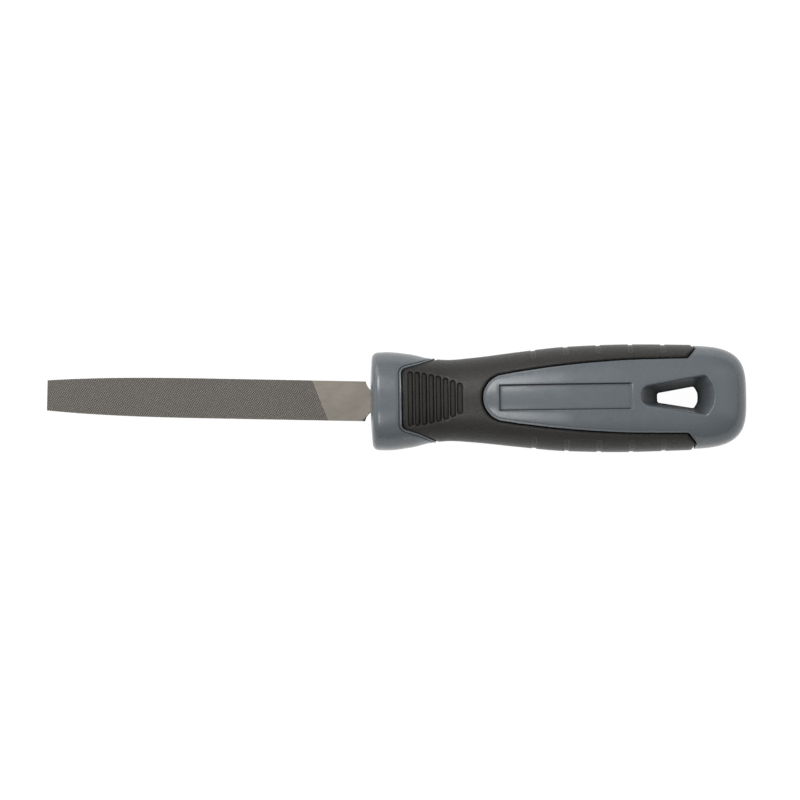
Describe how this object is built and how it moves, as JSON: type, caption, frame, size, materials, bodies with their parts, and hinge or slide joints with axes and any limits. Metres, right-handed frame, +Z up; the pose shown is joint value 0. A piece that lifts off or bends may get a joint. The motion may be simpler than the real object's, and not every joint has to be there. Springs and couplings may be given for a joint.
{
  "type": "flat file",
  "caption": "Flat metalworking file with a double-cut tapered blade, bare heel and a two-material handle with thumb grooves and a hanging hole.",
  "frame": {"origin": "on the surface the tool lies on, below the centre of its bounding box", "axes": "+X from the tip of the blade to the butt of the handle, +Z up out of the upper broad face, +Y across the tool"},
  "size_m": [0.2195, 0.0338, 0.0277],
  "materials": {
    "steel": "dull, unpolished hardened steel, grey-brown",
    "hard_plastic": "satin blue-grey moulded plastic",
    "soft_rubber": "matte black soft overmould"
  },
  "bodies": {
    "root": {"file_blade": "steel", "handle_core": "hard_plastic", "soft_grip": "soft_rubber"}
  },
  "joints": []
}
